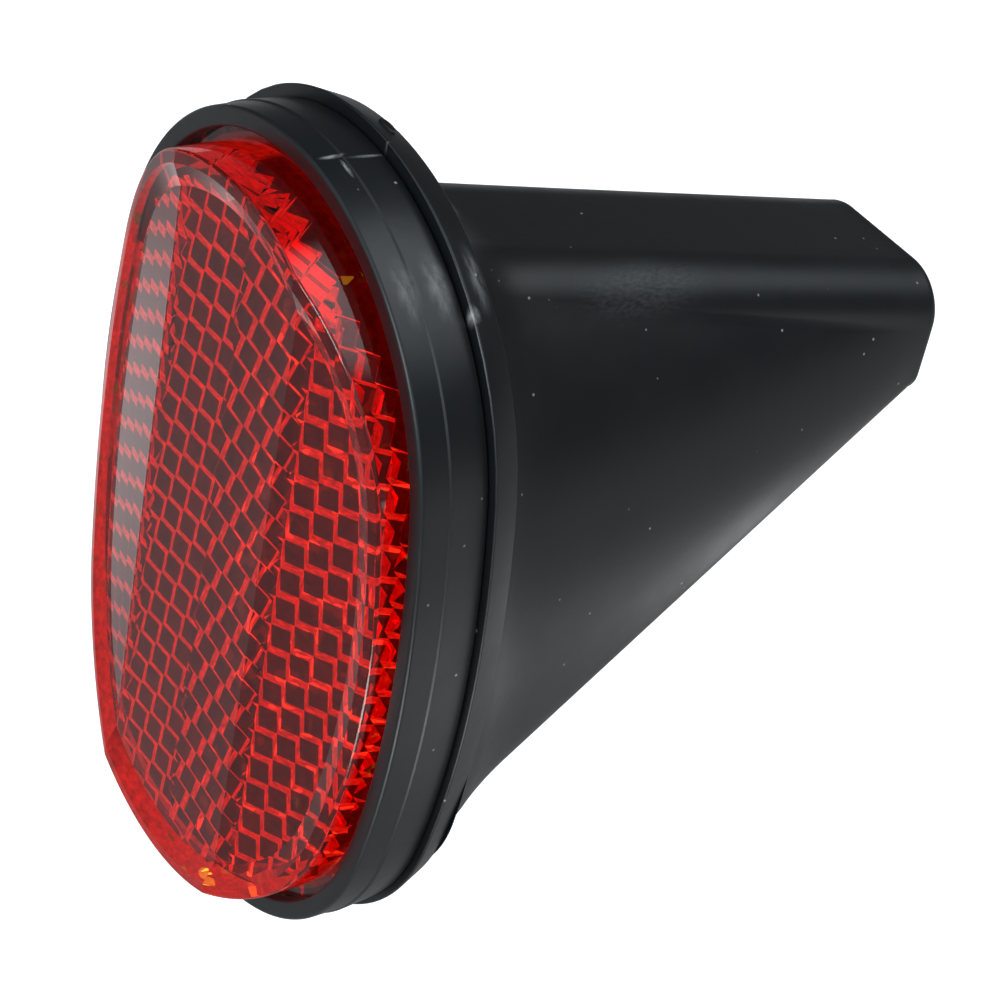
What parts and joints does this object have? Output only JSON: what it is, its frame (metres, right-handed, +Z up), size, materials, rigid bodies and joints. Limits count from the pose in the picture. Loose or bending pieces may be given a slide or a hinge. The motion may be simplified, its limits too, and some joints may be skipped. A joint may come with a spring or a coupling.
{
  "type": "bicycle rear mudguard reflector",
  "caption": "Oval red rear reflector with a three-facet corner-cube lens in a black ring, and a hood that tapers back to a slanted underside for a mudguard",
  "frame": {"origin": "on the fixing screw's axis, in the plane of the hood's flat slanted underside", "axes": "-Y is where the lens faces, +Z runs up along the oval's long axis, +X is to the side"},
  "size_m": [0.0612, 0.0803, 0.0862],
  "materials": {
    "red_lens": "clear gloss",
    "black_frame": "satin",
    "black_hood": "satin",
    "zinc_steel": "zinc plated"
  },
  "bodies": {
    "root": {"lens": "red_lens", "lens_frame": "black_frame", "hood": "black_hood", "captive_nut": "zinc_steel"}
  },
  "joints": []
}
